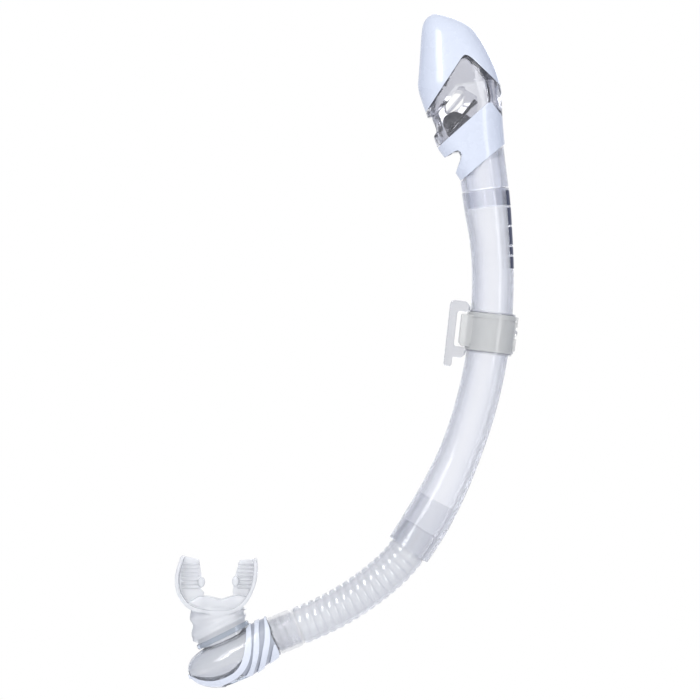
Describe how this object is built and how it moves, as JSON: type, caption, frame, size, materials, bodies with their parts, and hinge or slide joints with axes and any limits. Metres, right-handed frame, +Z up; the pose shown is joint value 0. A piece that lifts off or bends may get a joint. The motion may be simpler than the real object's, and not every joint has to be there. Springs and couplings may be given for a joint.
{
  "type": "snorkel tube",
  "caption": "Clear curved snorkel with a float-valve dry top, a sliding and turning mask keeper, a flexible corrugated hose, a striped purge chamber and a bite mouthpiece.",
  "frame": {"origin": "middle of the keeper's strap pad face, where the mask strap lies", "axes": "+Z up along the height, the tube's bend lies in the XZ plane with the mouthpiece towards -X and up, +Y across the tube"},
  "size_m": [0.2194, 0.0396, 0.4312],
  "materials": {
    "barrel": "gloss",
    "top_socket": "gloss",
    "valve_housing": "gloss",
    "splash_skirt": "gloss",
    "top_cap": "gloss",
    "valve_seat": "gloss",
    "float_arm": "gloss",
    "float_block": "matte",
    "valve_dome": "matte",
    "keeper_liner": "gloss",
    "keeper_hook": "gloss",
    "keeper_band": "satin",
    "latch_stud": "gloss",
    "hose_connector": "gloss",
    "flex_hose": "satin",
    "hose_cuff": "satin",
    "purge_body": "gloss",
    "stripe_outer": "gloss",
    "stripe_middle": "gloss",
    "stripe_inner": "gloss",
    "stripe_tip": "gloss",
    "purge_valve_seat": "gloss",
    "purge_diaphragm": "satin",
    "purge_guard": "gloss",
    "mouthpiece_tie": "gloss",
    "mouthpiece": "satin"
  },
  "bodies": {
    "barrel": {"barrel": "barrel", "top_socket": "top_socket", "valve_housing": "valve_housing", "splash_skirt": "splash_skirt", "top_cap": "top_cap", "valve_seat": "valve_seat", "hose_connector": "hose_connector", "flex_hose": "flex_hose"},
    "float": {"float_arm": "float_arm", "float_block": "float_block", "valve_dome": "valve_dome"},
    "keeper_liner": {"keeper_liner": "keeper_liner"},
    "keeper": {"keeper_hook": "keeper_hook", "keeper_band": "keeper_band", "latch_stud": "latch_stud"},
    "hose_end": {"hose_cuff": "hose_cuff"},
    "purge": {"purge_body": "purge_body", "stripe_outer": "stripe_outer", "stripe_middle": "stripe_middle", "stripe_inner": "stripe_inner", "stripe_tip": "stripe_tip", "purge_valve_seat": "purge_valve_seat", "purge_guard": "purge_guard", "mouthpiece_tie": "mouthpiece_tie", "mouthpiece": "mouthpiece"},
    "diaphragm": {"purge_diaphragm": "purge_diaphragm"}
  },
  "joints": [
    {"name": "float_rise", "type": "slide", "parent": "barrel", "child": "float", "axis": [-0.809, 0, 0.5878], "range_m": [0, 0.0086]},
    {"name": "keeper_slide", "type": "hinge", "parent": "barrel", "child": "keeper_liner", "pos_m": [-0.27875, 0, 0.03127], "axis": [0, 1, 0], "range_deg": [-6, 12]},
    {"name": "keeper_swivel", "type": "hinge", "parent": "keeper_liner", "child": "keeper", "pos_m": [0.01938, 0, -0.00217], "axis": [0.1115, 0, 0.9938], "continuous": true},
    {"name": "hose_bend", "type": "hinge", "parent": "barrel", "child": "hose_end", "pos_m": [-0.06432, 0, -0.16964], "axis": [0, 1, 0], "range_deg": [-25, 25], "stiffness_Nm_per_rad": 1.5, "deforming": ["flex_hose"]},
    {"name": "mouth_swivel", "type": "hinge", "parent": "hose_end", "child": "purge", "pos_m": [-0.11886, 0, -0.19635], "axis": [0.9239, 0, 0.3827], "range_deg": [-45, 45]},
    {"name": "purge_flap", "type": "slide", "parent": "purge", "child": "diaphragm", "axis": [0.3827, 0, -0.9239], "range_m": [0, 0.0012], "stiffness_N_per_m": 60}
  ]
}
